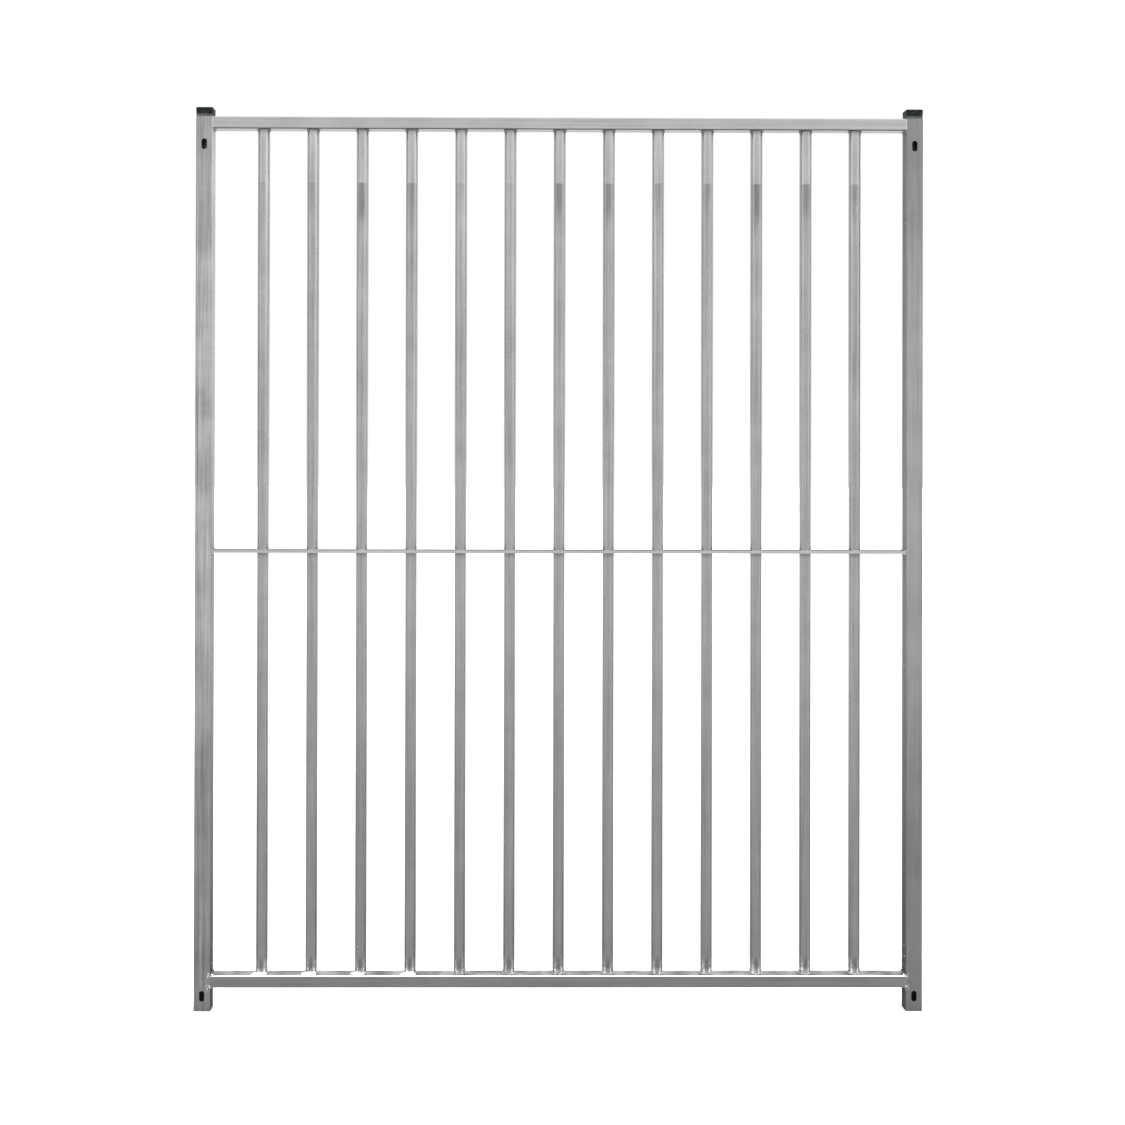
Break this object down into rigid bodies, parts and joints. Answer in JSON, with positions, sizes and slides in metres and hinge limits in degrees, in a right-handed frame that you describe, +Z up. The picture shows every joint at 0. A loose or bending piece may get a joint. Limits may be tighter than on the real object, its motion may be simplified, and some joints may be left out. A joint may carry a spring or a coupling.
{
  "type": "livestock panel gate",
  "caption": "Rigid pen panel of galvanised steel: square tube posts with fixing slots and plastic caps, tubular rails, a flat middle rail and round upright bars.",
  "frame": {"origin": "midway between the outer faces of the posts, midway through the depth, at the level of the posts' feet", "axes": "+X along the panel, to the right when seen from the front; +Y through the panel, from front to back; +Z up"},
  "size_m": [1.5, 0.035, 1.859],
  "materials": {
    "galvanised_frame": "hot-dip galvanised, dull, with lengthwise streaks",
    "galvanised_bars": "hot-dip galvanised, dull, with lengthwise streaks",
    "galvanised_welds": "weld bead under bright, lumpy zinc",
    "black_plastic": "moulded, fine matt grain"
  },
  "bodies": {
    "root": {"left_post": "galvanised_frame", "right_post": "galvanised_frame", "top_rail": "galvanised_frame", "mid_rail": "galvanised_frame", "bottom_rail": "galvanised_frame", "bar_01": "galvanised_bars", "bar_02": "galvanised_bars", "bar_03": "galvanised_bars", "bar_04": "galvanised_bars", "bar_05": "galvanised_bars", "bar_06": "galvanised_bars", "bar_07": "galvanised_bars", "bar_08": "galvanised_bars", "bar_09": "galvanised_bars", "bar_10": "galvanised_bars", "bar_11": "galvanised_bars", "bar_12": "galvanised_bars", "bar_13": "galvanised_bars", "left_cap": "black_plastic", "right_cap": "black_plastic", "top_rail_bar_welds": "galvanised_welds", "mid_rail_bar_welds": "galvanised_welds", "bottom_rail_bar_welds": "galvanised_welds", "top_rail_end_welds": "galvanised_welds", "mid_rail_end_welds": "galvanised_welds", "bottom_rail_end_welds": "galvanised_welds"}
  },
  "joints": []
}
